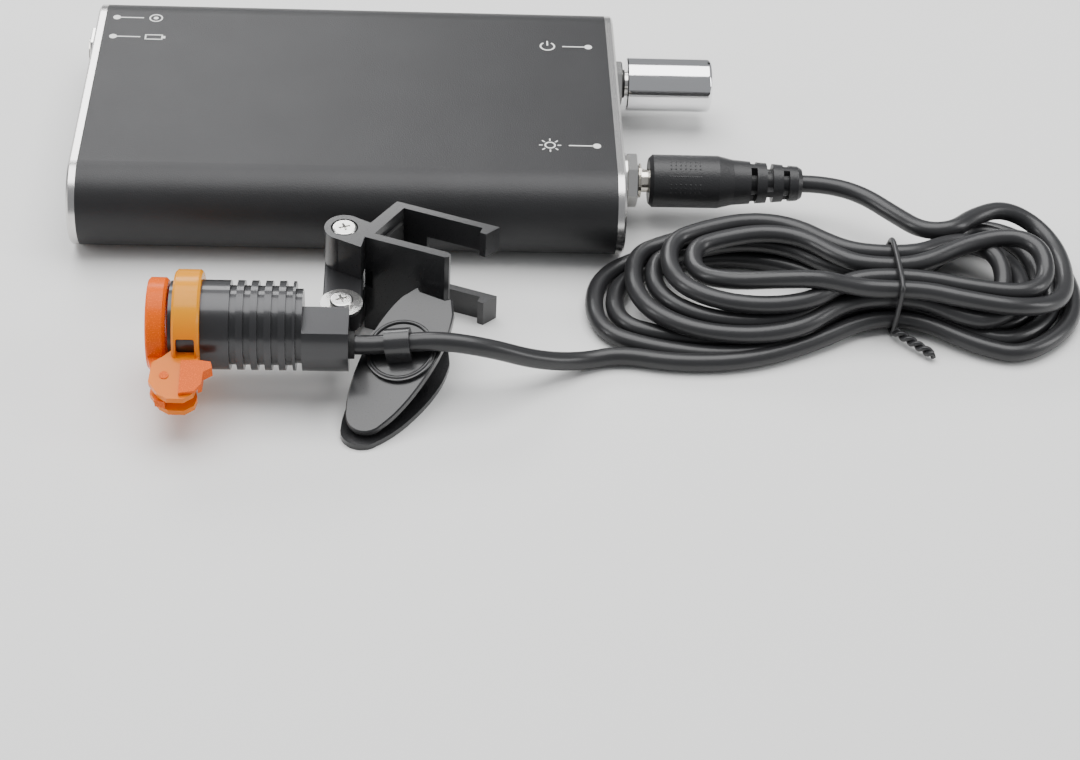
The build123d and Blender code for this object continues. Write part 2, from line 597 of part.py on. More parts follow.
LUG_UNDER = LINK_TOP + 0.1
with BuildPart() as loupe_bracket:
    # back wall, near wall with a rounded end, far wall with its inward hook
    add(bracket_prism([(4.4, 2.6), (6.9, NEAR_IN), (9.4, FAR_IN), (9.4, FAR_OUT), (7.1, FAR_OUT)],
                      0, BRACKET_HEIGHT))
    add(bracket_prism([(5.2, NEAR_OUT), (NEAR_END - 0.9, NEAR_OUT), (NEAR_END, NEAR_OUT + 0.5),
                       (NEAR_END, NEAR_IN - 0.5), (NEAR_END - 0.9, NEAR_IN), (6.9, NEAR_IN), (4.4, 2.6)],
                      0, BRACKET_HEIGHT))
    add(bracket_prism([(8.0, FAR_IN), (FAR_END - 3.4, FAR_IN), (FAR_END - 3.4, FAR_IN - 1.7),
                       (FAR_END - 1.9, FAR_IN - 1.9), (FAR_END, FAR_OUT), (8.0, FAR_OUT)],
                      0, BRACKET_HEIGHT))
    # notch that leaves an upper and a lower finger in the far wall
    add(bracket_prism([(FINGER_ROOT, 8), (FAR_END + 2, 8), (FAR_END + 2, 16), (FINGER_ROOT, 16)],
                      FINGER, BRACKET_HEIGHT - FINGER), mode=Mode.SUBTRACT)
    # room for the link between the two lugs
    add(pivot_drum(4.75, LINK_BOTTOM - 0.2, LUG_UNDER), mode=Mode.SUBTRACT)
    add(bracket_prism([(0, -20), (7.2, -20), (7.2, -0.9), (0, 0.5)], LINK_BOTTOM - 0.2, LUG_UNDER),
        mode=Mode.SUBTRACT)
    # upper lug with its stop and lower lug
    for low, high in ((LUG_UNDER, BRACKET_HEIGHT), (LINK_BOTTOM - 0.2 - LUG_HEIGHT, LINK_BOTTOM - 0.2)):
        add(pivot_drum(LUG_R, low, high))
        add(bracket_prism([(0.6, 4.34), (5.4, 3.6), (5.4, NEAR_OUT), (6.0, -5.1), (-1.4, -4.17), (0, 0)],
                          low, high))
    add(pivot_drum(3.0, BRACKET_HEIGHT - LUG_SINK, BRACKET_HEIGHT + 1), mode=Mode.SUBTRACT)
    add(pivot_drum(PIVOT_HOLE_R, 0, BRACKET_HEIGHT + 1), mode=Mode.SUBTRACT)
save(loupe_bracket.part, "loupe_bracket")

with BuildPart() as slot_pad:
    add(bracket_prism([(7.35, NEAR_IN + 1.4), (8.15, NEAR_IN + 1.2),
                       (9.95, FAR_IN - 1.6), (9.15, FAR_IN - 1.4)],
                      3.0, BRACKET_HEIGHT - 3.0))
save(slot_pad.part, "slot_pad")

# ================= cord clip =================
# Jaw frame: local x across the clip, local y toward its grip end.
UPPER_PLANE = Plane(origin=DISC_CENTRE, x_dir=(ACROSS[0], ACROSS[1], 0), z_dir=PLATE_NORMAL)
LOWER_PLANE = Plane(origin=(DISC_CENTRE[0], DISC_CENTRE[1], 0), x_dir=(ACROSS[0], ACROSS[1], 0),
                    z_dir=(0, 0, 1))
HINGE_ALONG, HINGE_Z = 4.0, 6.0
HINGE_CENTRE = (DISC_CENTRE[0] + HINGE_ALONG * HEAD[0], DISC_CENTRE[1] + HINGE_ALONG * HEAD[1], HINGE_Z)
HINGE_PLANE = Plane(origin=HINGE_CENTRE, x_dir=(HEAD[0], HEAD[1], 0), z_dir=(ACROSS[0], ACROSS[1], 0))


def leaf(tip, grip_end, grip_half):
    """The leaf outline of a jaw: round tip, wide middle, narrower grip end with a shallow notch."""
    with BuildSketch() as outline:
        with BuildLine():
            Spline((-4.4, tip + 3.2), (-7.6, -6.0), (-grip_half - 1.4, grip_end - 3.5),
                   tangents=[(-0.5, 1), (0.35, 1)])
            Line((-grip_half - 1.4, grip_end - 3.5), (-grip_half + 0.8, grip_end))
            Line((-grip_half + 0.8, grip_end), (-grip_half + 2.0, grip_end - 0.9))
            Line((-grip_half + 2.0, grip_end - 0.9), (grip_half - 2.0, grip_end - 0.9))
            Line((grip_half - 2.0, grip_end - 0.9), (grip_half - 0.8, grip_end))
            Line((grip_half - 0.8, grip_end), (grip_half + 1.4, grip_end - 3.5))
            Spline((grip_half + 1.4, grip_end - 3.5), (7.6, -6.0), (4.4, tip + 3.2),
                   tangents=[(0.35, -1), (-0.5, -1)])
            ThreePointArc((4.4, tip + 3.2), (0, tip), (-4.4, tip + 3.2))
        make_face()
    return outline.sketch


UPPER_TIP, UPPER_GRIP = -21.0, 16.2
with BuildPart() as clip_upper_jaw:
    with BuildSketch(UPPER_PLANE.offset(-JAW_THICK)):
        add(leaf(UPPER_TIP, UPPER_GRIP, 5.0))
    extrude(amount=JAW_THICK)
    chamfer(clip_upper_jaw.faces().sort_by(Axis(DISC_CENTRE, PLATE_NORMAL))[-1].outer_wire().edges(), 0.3)
    with BuildSketch(UPPER_PLANE.offset(1)):
        Circle(STUB_R + 0.05)
    extrude(amount=-(JAW_THICK + 2), mode=Mode.SUBTRACT)
    # hinge ears that reach down to the pin
    for side in (-1, 1):
        with BuildSketch(HINGE_PLANE.offset(side * 4.4 - 0.7)):
            with BuildLine():
                Polyline((-2.3, 0), (2.3, 0), (2.3, 6.4), (-2.3, 4.6), close=True)
            make_face()
            Circle(2.3)
        extrude(amount=1.4)
    with BuildSketch(HINGE_PLANE.offset(-8)):
        Circle(1.05)
    extrude(amount=16, mode=Mode.SUBTRACT)
save(clip_upper_jaw.part, "clip_upper_jaw")

with BuildPart() as clip_hinge_pin:
    with BuildSketch(HINGE_PLANE.offset(-5.6)):
        Circle(1.0)
    extrude(amount=11.2)
save(clip_hinge_pin.part, "clip_hinge_pin")

LOWER_TIP = -21.8
with BuildPart() as clip_lower_jaw:
    with BuildSketch(LOWER_PLANE):
        add(leaf(LOWER_TIP, 15.0, 4.6))
    extrude(amount=LOWER_THICK)
    for side in (-1, 1):
        with BuildSketch(HINGE_PLANE.offset(side * 2.7 - 0.7)):
            with BuildLine():
                Polyline((-2.3, 0), (2.3, 0), (2.3, 0.6 - HINGE_Z), (-2.3, 0.6 - HINGE_Z), close=True)
            make_face()
            Circle(2.3)
        extrude(amount=1.4)
    with BuildSketch(HINGE_PLANE.offset(-8)):
        Circle(1.05)
    extrude(amount=16, mode=Mode.SUBTRACT)
save(clip_lower_jaw.part, "clip_lower_jaw")

with BuildPart() as clip_spring:
    with BuildSketch(HINGE_PLANE.offset(-1.8)):
        Circle(2.2)
        Circle(1.2, mode=Mode.SUBTRACT)
    extrude(amount=3.6)
save(clip_spring.part, "clip_spring")

# Swivel disc with the strap that holds the cord; the cord crosses it along ROUTE.
STRAP_PLANE = Plane(origin=HOLD, x_dir=PLATE_NORMAL.cross(CORD_DIR), z_dir=CORD_DIR)
DISC_PLANE = Plane(origin=DISC_CENTRE, x_dir=CORD_DIR, z_dir=PLATE_NORMAL)
with BuildPart() as cord_swivel:
    with BuildSketch(DISC_PLANE.offset(SWIVEL_GAP)):
        Circle(SWIVEL_R)
    extrude(amount=SWIVEL_THICK - SWIVEL_GAP)
    with BuildSketch(DISC_PLANE.offset(SWIVEL_GAP)):
        Circle(SWIVEL_R)
        Circle(SWIVEL_R - 1.1, mode=Mode.SUBTRACT)
    extrude(amount=0.95 - SWIVEL_GAP)
    with BuildSketch(STRAP_PLANE.offset(-STRAP_WIDTH / 2)):
        Circle(CORD_R + 1.2)
        with Locations((0, -(CORD_RISE - SWIVEL_GAP - 0.2) / 2)):
            Rectangle(2 * (CORD_R + 1.2), CORD_RISE - SWIVEL_GAP - 0.2)
        Circle(CORD_R + 0.12, mode=Mode.SUBTRACT)
        with Locations((0, -CORD_RISE / 2 + SWIVEL_THICK / 2)):
            Rectangle(2 * (CORD_R - 0.3), CORD_RISE - SWIVEL_THICK, mode=Mode.SUBTRACT)
    extrude(amount=STRAP_WIDTH)
    # cut the strap's sketch off below the disc, then hang the stub and its snap head
    with BuildSketch(DISC_PLANE.offset(SWIVEL_GAP)):
        Circle(12)
    extrude(amount=-4, mode=Mode.SUBTRACT)
    with BuildSketch(DISC_PLANE.offset(SWIVEL_GAP)):
        Circle(STUB_R)
    extrude(amount=-(JAW_THICK + SWIVEL_GAP + 0.15))
    with BuildSketch(DISC_PLANE.offset(-(JAW_THICK + 0.12))):
        Circle(STUB_R + 0.6)
    extrude(amount=-0.6)
save(cord_swivel.part, "cord_swivel")

# ================= cord =================
LEAD_ROUTE = [
    (LAMP_REAR + 1.2, EXIT_Y, EXIT_Z),
    tuple(BEFORE_CLIP),
    tuple(AFTER_CLIP),
    (32.0, -85.2, 13.2),
    (42.5, -81.6, 6.8),
    (52.5, -76.6, CORD_BED),
    (61.5, -73.0, CORD_BED),
]
TAIL_ROUTE = [
    (PLUG_END, JACK_Y, PACK_MID),
    (112.5, JACK_Y, PACK_MID),
    (121.0, -23.4, 10.6),
    (128.0, -30.2, TAIL_HEIGHT),
    (132.6, -36.9, TAIL_HEIGHT),
]


def route_radii(points):
    """0.45 of the shorter run beside each corner, over the tangent of half its turn."""
    radii = []
    for before, here, after in zip(points, points[1:], points[2:]):
        run_in, run_out = Vector(*here) - Vector(*before), Vector(*after) - Vector(*here)
        turn = radians(run_in.get_angle(run_out))
        radii.append(0.45 * min(run_in.length, run_out.length) / tan(turn / 2))
    return radii


def cord_tube(points, name):
    """The plain tube along a route, with its volume compared with section times length."""
    radii = route_radii(points)
    with BuildPart() as tube:
        with BuildLine() as path:
            FilletPolyline(*points, radius=radii)
        with BuildSketch(Plane(origin=path.line @ 0, z_dir=path.line % 0)):
            Circle(CORD_R)
        sweep(path=path.line)
    length = path.wire().length
    ratio = tube.part.volume / (pi * CORD_R**2 * length)
    runs = [round((Vector(*b) - Vector(*a)).length, 1) for a, b in zip(points, points[1:])]
    print(name, "length", round(length, 1), "radii", [round(r, 1) for r in radii], "runs", runs,
          "volume ratio", round(ratio, 4))
    save(tube.part, name)


cord_tube(LEAD_ROUTE, "cord_lead")
cord_tube(TAIL_ROUTE, "cord_tail")


def facet(route, half_width=4.2):
    """In plan, the two ends of the flat that a route's last run meets square on."""
    end, along = Vector(*route[-1]), Vector(*route[-1]) - Vector(*route[-2])
    side = Vector(-along.Y, along.X, 0).normalized() * half_width
    return [(end.X + side.X, end.Y + side.Y), (end.X - side.X, end.Y - side.Y)]


# Outer shape of the hank in plan, clockwise: it starts at the flat that the lead meets, goes round the
# left loops to the tie, and back round the right loops. The plug's tail meets a flat on the top turn.
TIE_X, TIE_WIDTH, TIE_WIRE = 124.6, 2.6, 0.9
WAIST = (-63.6, -41.4)
HANK_STEPS = ((0.0, 5.0, 0.0), (5.0, 9.2, 2.4), (9.2, 13.0, 5.2))
HANK_TOP = HANK_STEPS[-1][1]
HANK_OUTLINE = [
    *reversed(facet(LEAD_ROUTE)), (56.4, -64.0), (54.6, -57.0), (58.0, -49.0), (67.0, -42.6),
    (73.0, -35.6), (82.0, -32.4), (95.0, -32.6), (109.0, -36.4), (118.5, WAIST[1]), (130.6, WAIST[1]),
    (138.0, -32.0),
    (147.0, -24.0), (157.0, -21.4), (165.0, -24.0), (169.0, -31.0), (171.0, -45.0), (170.0, -60.0),
    (165.0, -70.0), (154.0, -74.4), (141.0, -73.6), (131.0, WAIST[0]), (118.5, WAIST[0]),
    (111.0, -68.8), (98.0, -75.4), (80.0, -78.4),
]


def drawn_in(points, inset):
    """A clockwise outline with every corner moved inward along its bisector."""
    moved = []
    for before, here, after in zip([points[-1]] + points, points, points[1:] + points[:1]):
        run_in = (Vector(*here) - Vector(*before)).normalized()
        run_out = (Vector(*after) - Vector(*here)).normalized()
        inward = Vector(run_in.Y + run_out.Y, -run_in.X - run_out.X, 0).normalized() * inset
        moved.append((here[0] + inward.X, here[1] + inward.Y))
    return moved


def waist(inset, mode=Mode.ADD):
    """In a sketch on the tie's plane, the bundle's section under the tie as a rounded rectangle."""
    with Locations((sum(WAIST) / 2, HANK_TOP / 2)):
        RectangleRounded(WAIST[1] - WAIST[0] - 2 * inset, HANK_TOP - 2 * inset, 3.5 - inset, mode=mode)


def hank_layer(outline, low, high):
    """One layer of the hank between two heights."""
    with BuildPart() as layer:
        with BuildSketch(Plane.XY.offset(low)):
            with BuildLine():
                Polyline(*outline, close=True)
            make_face()
        extrude(amount=high - low)
    return layer.part


with BuildPart() as cord_hank:
    for low, high, inset in HANK_STEPS:
        add(hank_layer(drawn_in(HANK_OUTLINE, inset), low, high))
    # the top turn, which the plug's tail runs into
    add(hank_layer([*facet(TAIL_ROUTE), (140.0, -53.0), (148.0, -45.0)], 5.0, HANK_TOP))
    with BuildSketch(Plane.YZ.offset(TIE_X - TIE_WIDTH / 2)):
        with Locations((sum(WAIST) / 2, 0)):
            Rectangle(80, 60)
        waist(TIE_WIRE, Mode.SUBTRACT)
    extrude(amount=TIE_WIDTH, mode=Mode.SUBTRACT)
save(cord_hank.part, "cord_hank")

with BuildPart() as cord_tie:
    with BuildSketch(Plane.YZ.offset(TIE_X - TIE_WIDTH / 2 + 0.1)):
        waist(0.05)
        waist(TIE_WIRE - 0.05, Mode.SUBTRACT)
    extrude(amount=TIE_WIDTH - 0.2)
save(cord_tie.part, "cord_tie")

# ---- barrel plug on the cord's other end ----
PLUG_AXIS = Axis((0, JACK_Y, PACK_MID), (1, 0, 0))
PLUG_PLANE = Plane(origin=(0, JACK_Y, PACK_MID), x_dir=(1, 0, 0), z_dir=(0, -1, 0))
PLUG_OUTER_R, PLUG_BORE_R = 2.75, 1.25
RELIEF_SLOTS, RELIEF_PITCH, RELIEF_SLOT = 3, 3.9, 1.5
RELIEF_START = 94.6

with BuildPart() as plug_barrel:
    with BuildSketch(Plane.YZ.offset(60.0)):
        with Locations((JACK_Y, PACK_MID)):
            Circle(PLUG_OUTER_R)
            Circle(PLUG_BORE_R, mode=Mode.SUBTRACT)
    extrude(amount=PLUG_START - 60.0)
save(plug_barrel.part, "plug_barrel")

with BuildPart() as plug_overmould:
    with BuildSketch(PLUG_PLANE):
        with BuildLine():
            Polyline((PLUG_START, 0), (PLUG_START, 5.4), (PLUG_START + 0.9, 6.25), (87.0, 6.25), (90.5, 5.4),
                     (PLUG_END - 1.0, 4.1), (PLUG_END, 3.5), (PLUG_END, 0), close=True)
        make_face()
    revolve(axis=PLUG_AXIS)
    for slot in range(RELIEF_SLOTS):
        with BuildSketch(Plane.YZ.offset(RELIEF_START + slot * RELIEF_PITCH)):
            with Locations((JACK_Y, PACK_MID)):
                Circle(7)
                Circle(2.9, mode=Mode.SUBTRACT)
                Rectangle(1.6, 14, mode=Mode.SUBTRACT, rotation=90 * (slot % 2))
        extrude(amount=RELIEF_SLOT, mode=Mode.SUBTRACT)
save(plug_overmould.part, "plug_overmould")
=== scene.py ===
import math

import bpy
from mathutils import Matrix, Vector


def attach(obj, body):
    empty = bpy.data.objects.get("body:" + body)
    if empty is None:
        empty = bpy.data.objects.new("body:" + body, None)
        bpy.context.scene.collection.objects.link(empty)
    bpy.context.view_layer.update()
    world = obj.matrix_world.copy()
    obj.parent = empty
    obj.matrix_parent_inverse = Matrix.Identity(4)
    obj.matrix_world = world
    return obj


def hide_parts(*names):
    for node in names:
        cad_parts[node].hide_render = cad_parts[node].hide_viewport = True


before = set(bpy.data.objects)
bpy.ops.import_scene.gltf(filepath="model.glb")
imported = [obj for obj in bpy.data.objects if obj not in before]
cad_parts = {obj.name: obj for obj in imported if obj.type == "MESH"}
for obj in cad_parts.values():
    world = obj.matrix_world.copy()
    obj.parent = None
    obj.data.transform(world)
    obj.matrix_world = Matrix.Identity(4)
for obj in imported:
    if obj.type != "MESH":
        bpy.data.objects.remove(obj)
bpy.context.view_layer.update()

# ---------------------------------------------------------------- materials


def new_material(name, base, rough=0.5, metal=0.0, coat=0.0, spec=0.5, grain=0.0, grain_size=4000.0,
                 wear=0.0, trans=0.0, ior=1.45, bump=0.0, bump_size=1500.0, stretch=(1, 1, 1)):
    """A procedural material: roughness varied by noise, with optional colour wear and a fine bump."""
    m = bpy.data.materials.new(name)
    m.use_nodes = True
    nt = m.node_tree
    b = nt.nodes["Principled BSDF"]
    b.inputs["Base Color"].default_value = (*base, 1)
    b.inputs["Roughness"].default_value = rough
    b.inputs["Metallic"].default_value = metal
    b.inputs["Coat Weight"].default_value = coat
    b.inputs["Coat Roughness"].default_value = 0.12
    b.inputs["Specular IOR Level"].default_value = spec
    b.inputs["Transmission Weight"].default_value = trans
    b.inputs["IOR"].default_value = ior
    tex = nt.nodes.new("ShaderNodeTexCoord")
    mapping = nt.nodes.new("ShaderNodeMapping")
    mapping.inputs["Scale"].default_value = stretch
    nt.links.new(tex.outputs["Object"], mapping.inputs["Vector"])
    noise = nt.nodes.new("ShaderNodeTexNoise")
    noise.inputs["Scale"].default_value = grain_size
    noise.inputs["Detail"].default_value = 3
    nt.links.new(mapping.outputs["Vector"], noise.inputs["Vector"])
    ramp = nt.nodes.new("ShaderNodeMapRange")
    ramp.inputs["To Min"].default_value = max(0.0, rough - 0.08 - grain)
    ramp.inputs["To Max"].default_value = min(1.0, rough + 0.08 + grain)
    nt.links.new(noise.outputs["Fac"], ramp.inputs["Value"])
    nt.links.new(ramp.outputs["Result"], b.inputs["Roughness"])
    if wear:
        broad = nt.nodes.new("ShaderNodeTexNoise")
        broad.inputs["Scale"].default_value = 60
        broad.inputs["Detail"].default_value = 6
        nt.links.new(tex.outputs["Object"], broad.inputs["Vector"])
        mix = nt.nodes.new("ShaderNodeMix")
        mix.data_type = "RGBA"
        mix.inputs["A"].default_value = (*base, 1)
        mix.inputs["B"].default_value = (*[min(1.0, c * (1 + wear) + 0.004 * wear) for c in base], 1)
        nt.links.new(broad.outputs["Fac"], mix.inputs["Factor"])
        nt.links.new(mix.outputs["Result"], b.inputs["Base Color"])
    if bump:
        fine = nt.nodes.new("ShaderNodeTexNoise")
        fine.inputs["Scale"].default_value = bump_size
        fine.inputs["Detail"].default_value = 2
        nt.links.new(mapping.outputs["Vector"], fine.inputs["Vector"])
        bn = nt.nodes.new("ShaderNodeBump")
        bn.inputs["Strength"].default_value = bump
        bn.inputs["Distance"].default_value = 0.0002
        nt.links.new(fine.outputs["Fac"], bn.inputs["Height"])
        nt.links.new(bn.outputs["Normal"], b.inputs["Normal"])
    return m


ANODISED = new_material("pack_black", (0.018, 0.018, 0.019), 0.42, 0.35, grain=0.05, bump=0.25,
                        bump_size=3500, wear=0.5)
PLATE = new_material("plate_black", (0.02, 0.02, 0.021), 0.4, 0.4, bump=0.2, bump_size=3000)
GLOSS_BLACK = new_material("lamp_black", (0.035, 0.035, 0.037), 0.31, 0.6, coat=0.4, wear=0.3)
MOULDED = new_material("moulded_black", (0.015, 0.015, 0.016), 0.3, coat=0.35, bump=0.1, bump_size=2500,
                       wear=0.5)
PLUG = new_material("plug_black_look", (0.016, 0.016, 0.017), 0.38, bump=0.3, bump_size=2600, wear=0.5)
JACKET = new_material("jacket_black", (0.015, 0.015, 0.016), 0.36, coat=0.1, bump=0.1, bump_size=900,
                      wear=0.6)
RUBBER = new_material("rubber_black", (0.012, 0.012, 0.012), 0.6, bump=0.3)
STEEL = new_material("steel_bright", (0.72, 0.71, 0.69), 0.2, 1.0)
CHROME = new_material("chrome_bright", (0.85, 0.85, 0.86), 0.09, 1.0, stretch=(0.05, 1, 1), grain=0.02)
NICKEL = new_material("nickel_bright", (0.78, 0.74, 0.66), 0.16, 1.0)
GLASS = new_material("lens_clear", (0.97, 0.98, 1.0), 0.03, trans=1.0, ior=1.5)
AMBER = new_material("amber_look", (0.9, 0.36, 0.0), 0.22, trans=0.3, ior=1.4, coat=0.06, spec=0.15,
                     bump=0.04)
ORANGE = new_material("orange_look", (0.85, 0.13, 0.0), 0.26, trans=0.2, ior=1.4, spec=0.1, bump=0.03)
ORANGE_PANE = new_material("orange_pane", (0.85, 0.1, 0.0), 0.06, trans=0.7, coat=0.2, spec=0.3)
BOARD = new_material("board_look", (0.02, 0.14, 0.05), 0.35, coat=0.3)
CHIP = new_material("chip_look", (0.02, 0.02, 0.02), 0.5)
EMITTER = new_material("emitter_look", (0.95, 0.78, 0.15), 0.3, coat=0.5)
PIPE = new_material("pipe_look", (0.85, 0.9, 0.86), 0.25, trans=0.5)
CELL = new_material("cell_look", (0.05, 0.2, 0.42), 0.25, coat=0.3)
WIRE = new_material("wire_look", (0.45, 0.02, 0.02), 0.4)
PRINT = new_material("print_white", (0.75, 0.75, 0.73), 0.5)


RIM_SLOPE = 0.93  # a plate surface whose normal leans further than this from X is its bare rim
EAR_START, EAR_FULL = -0.0885, -0.0945  # Y where the ring's ear starts to deepen and where it is deepest


def bright_bevel(m):
    """Makes the slanted rim of an end plate bare metal, from the slope of its own surface."""
    nt = m.node_tree
    out = next(n for n in nt.nodes if n.type == "OUTPUT_MATERIAL")
    geo = nt.nodes.new("ShaderNodeNewGeometry")
    split = nt.nodes.new("ShaderNodeSeparateXYZ")
    nt.links.new(geo.outputs["Normal"], split.inputs["Vector"])
    size = nt.nodes.new("ShaderNodeMath")
    size.operation = "ABSOLUTE"
    nt.links.new(split.outputs["X"], size.inputs[0])
    less = nt.nodes.new("ShaderNodeMath")
    less.operation = "LESS_THAN"
    less.inputs[1].default_value = RIM_SLOPE
    nt.links.new(size.outputs[0], less.inputs[0])
    bare = nt.nodes.new("ShaderNodeBsdfPrincipled")
    bare.inputs["Base Color"].default_value = (0.62, 0.61, 0.6, 1)
    bare.inputs["Metallic"].default_value = 1
    bare.inputs["Roughness"].default_value = 0.24
    mix = nt.nodes.new("ShaderNodeMixShader")
    nt.links.new(less.outputs[0], mix.inputs["Fac"])
    nt.links.new(nt.nodes["Principled BSDF"].outputs["BSDF"], mix.inputs[1])
    nt.links.new(bare.outputs["BSDF"], mix.inputs[2])
    nt.links.new(mix.outputs["Shader"], out.inputs["Surface"])


bright_bevel(PLATE)


def blend_along_y(m, other, start, end):
    """Turns a material's colour into another along the row's Y, for an ear moulded in a deeper shade."""
    nt = m.node_tree
    tex = nt.nodes.new("ShaderNodeTexCoord")
    split = nt.nodes.new("ShaderNodeSeparateXYZ")
    nt.links.new(tex.outputs["Object"], split.inputs["Vector"])
    fade = nt.nodes.new("ShaderNodeMapRange")
    fade.inputs["From Min"].default_value = start
    fade.inputs["From Max"].default_value = end
    nt.links.new(split.outputs["Y"], fade.inputs["Value"])
    mix = nt.nodes.new("ShaderNodeMix")
    mix.data_type = "RGBA"
    mix.inputs["A"].default_value = nt.nodes["Principled BSDF"].inputs["Base Color"].default_value
    mix.inputs["B"].default_value = (*other, 1)
    nt.links.new(fade.outputs["Result"], mix.inputs["Factor"])
    nt.links.new(mix.outputs["Result"], nt.nodes["Principled BSDF"].inputs["Base Color"])


blend_along_y(AMBER, (0.95, 0.24, 0.0), EAR_START, EAR_FULL)

LOOKS = {
    "pack_shell": ANODISED, "end_plate_left": PLATE, "end_plate_right": PLATE, "end_plate_screws": STEEL,
    "battery_cell_1": CELL, "battery_cell_2": CELL, "cell_holder": CHIP, "circuit_board": BOARD,
    "board_posts": STEEL, "board_components": CHIP, "battery_leads": WIRE, "dimmer_body": CHIP,
    "dimmer_nut": STEEL, "dimmer_shaft": STEEL, "dimmer_knob": CHROME, "knob_set_screw": STEEL,
    "output_jack": NICKEL, "output_washer": STEEL, "output_nut": STEEL, "charge_jack": NICKEL,
    "charge_nut": STEEL, "charge_indicator": PIPE, "lamp_body": GLOSS_BLACK, "lamp_block": GLOSS_BLACK,
    "lamp_bezel": GLOSS_BLACK, "lens_seal": RUBBER, "lamp_lens": GLASS, "lamp_reflector": CHROME,
    "emitter_board": STEEL, "led_emitter": EMITTER, "cable_grommet": RUBBER, "filter_ring": AMBER,
    "filter_pin": ORANGE, "filter_latch": ORANGE, "filter_frame": ORANGE, "filter_glass": ORANGE_PANE,
    "link_arm": GLOSS_BLACK, "pivot_washer": STEEL, "lower_pivot_screw": STEEL, "upper_pivot_screw": STEEL,
    "loupe_bracket": MOULDED, "slot_pad": RUBBER, "clip_upper_jaw": MOULDED, "clip_lower_jaw": MOULDED,
    "clip_hinge_pin": STEEL, "clip_spring": STEEL, "cord_swivel": MOULDED, "plug_overmould": PLUG,
    "plug_barrel": NICKEL,
}
for node, look in LOOKS.items():
    data = bpy.data.objects[node].data
    data.materials.clear()
    data.materials.append(look)


def soften(node, width):
    """Rounds a CAD node's sharp edges a little without touching its own vertices."""
    bevel = bpy.data.objects[node].modifiers.new("soften", "BEVEL")
    bevel.width = width
    bevel.segments = 2
    bevel.limit_method = "ANGLE"
    bevel.angle_limit = math.radians(35)
    bevel.use_clamp_overlap = True


for node, width in (("loupe_bracket", 0.00022), ("lamp_block", 0.00018), ("link_arm", 0.00012),
                    ("clip_upper_jaw", 0.00015), ("clip_lower_jaw", 0.00015), ("lamp_body", 0.0001),
                    ("filter_ring", 0.00012), ("filter_frame", 0.0001), ("cord_swivel", 0.00012)):
    soften(node, width)

# ---------------------------------------------------------------- helpers for added pieces


def mesh_piece(name, verts, faces, material, smooth=False):
    """A mesh of its own on the base body, positions in metres."""
    mesh = bpy.data.meshes.new(name)
    mesh.from_pydata(verts, [], faces)
    mesh.update()
    if smooth:
        mesh.shade_smooth()
    mesh.materials.append(material)
    obj = bpy.data.objects.new(name, mesh)
    bpy.context.scene.collection.objects.link(obj)
    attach(obj, "base")
    return obj


def curve_piece(name, points, radius, material, closed=False, resolution=10):
    """A round wire along one NURBS spline through given points, in millimetres."""
    curve = bpy.data.curves.new(name, "CURVE")
    curve.dimensions = "3D"
    curve.bevel_depth = radius
    curve.bevel_resolution = 5
    curve.resolution_u = resolution
    curve.use_fill_caps = True
    spline = curve.splines.new("NURBS")
    spline.points.add(len(points) - 1)
    for target, (x, y, z) in zip(spline.points, points):
        target.co = (x / 1000, y / 1000, z / 1000, 1)
    spline.order_u = 3
    spline.use_endpoint_u = not closed
    spline.use_cyclic_u = closed
    curve.materials.append(material)
    obj = bpy.data.objects.new(name, curve)
    bpy.context.scene.collection.objects.link(obj)
    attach(obj, "base")
    return obj


# ---------------------------------------------------------------- cord
# All cord and tie positions are in millimetres.
CORD_RADIUS = 0.0021
WIRE_RADIUS = 0.0006
WAIST_LEFT, WAIST_RIGHT = 118.5, 130.5  # X where the strands enter and leave the tied waist
LOOP_ORIGIN = 118.0  # X from which the left loops' lengths are measured
EXIT = (2.9, -84.98, 13.26)
LEAD = [EXIT, (6.4, -84.98, 13.26), (12.31, -85.31, 14.22), (21.18, -85.79, 15.65), (32.0, -85.2, 13.2),
        (42.5, -81.6, 6.8), (52.5, -76.6, 2.2), (61.5, -73.8, 2.2), (74.0, -76.6, 2.2), (90.0, -75.6, 2.2),
        (105.0, -69.2, 2.2)]
TAIL = [(133.6, -38.0, 11.0), (128.4, -31.2, 10.2), (121.0, -23.4, 10.6), (112.5, -20.2, 10.75),
        (107.0, -20.2, 10.75)]
# The last turn, outside the others, from the tie round the right end and back to the tail.
LAST_TURN = [(140.0, -63.4, 11.2), (153.0, -65.4, 10.4), (164.5, -58.0, 7.0), (167.0, -42.0, 6.5),
             (163.0, -30.6, 7.4), (154.6, -28.0, 10.6), (146.4, -32.4, 11.2), (140.6, -38.8, 12.0)]
# Places of the strands under the tie: (y, z) of those that run right and of those that run left.
RIGHTWARD = [(-61.2, 3.4), (-56.9, 3.4), (-52.6, 3.4), (-59.0, 7.6), (-54.7, 7.6), (-56.6, 11.8),
             (-60.9, 11.8)]
LEFTWARD = [(-44.0, 3.4), (-48.3, 3.4), (-46.1, 7.6), (-50.4, 7.6), (-47.9, 11.8), (-52.3, 11.8)]
# Left loops: tip x, tip y, back y, front y, height on the back branch, height on the front branch.
LEFT_LOOPS = [
    (56.5, -56.0, -33.6, -73.6, 2.2, 2.2),
    (61.2, -55.6, -38.2, -68.9, 2.2, 2.2),
    (65.5, -51.0, -33.0, -71.6, 6.5, 6.5),
    (70.2, -50.8, -37.6, -66.9, 6.5, 6.5),
    (73.5, -50.0, -35.0, -66.2, 10.8, 10.8),
    (79.0, -50.2, -39.4, -61.4, 10.8, 14.8),
]
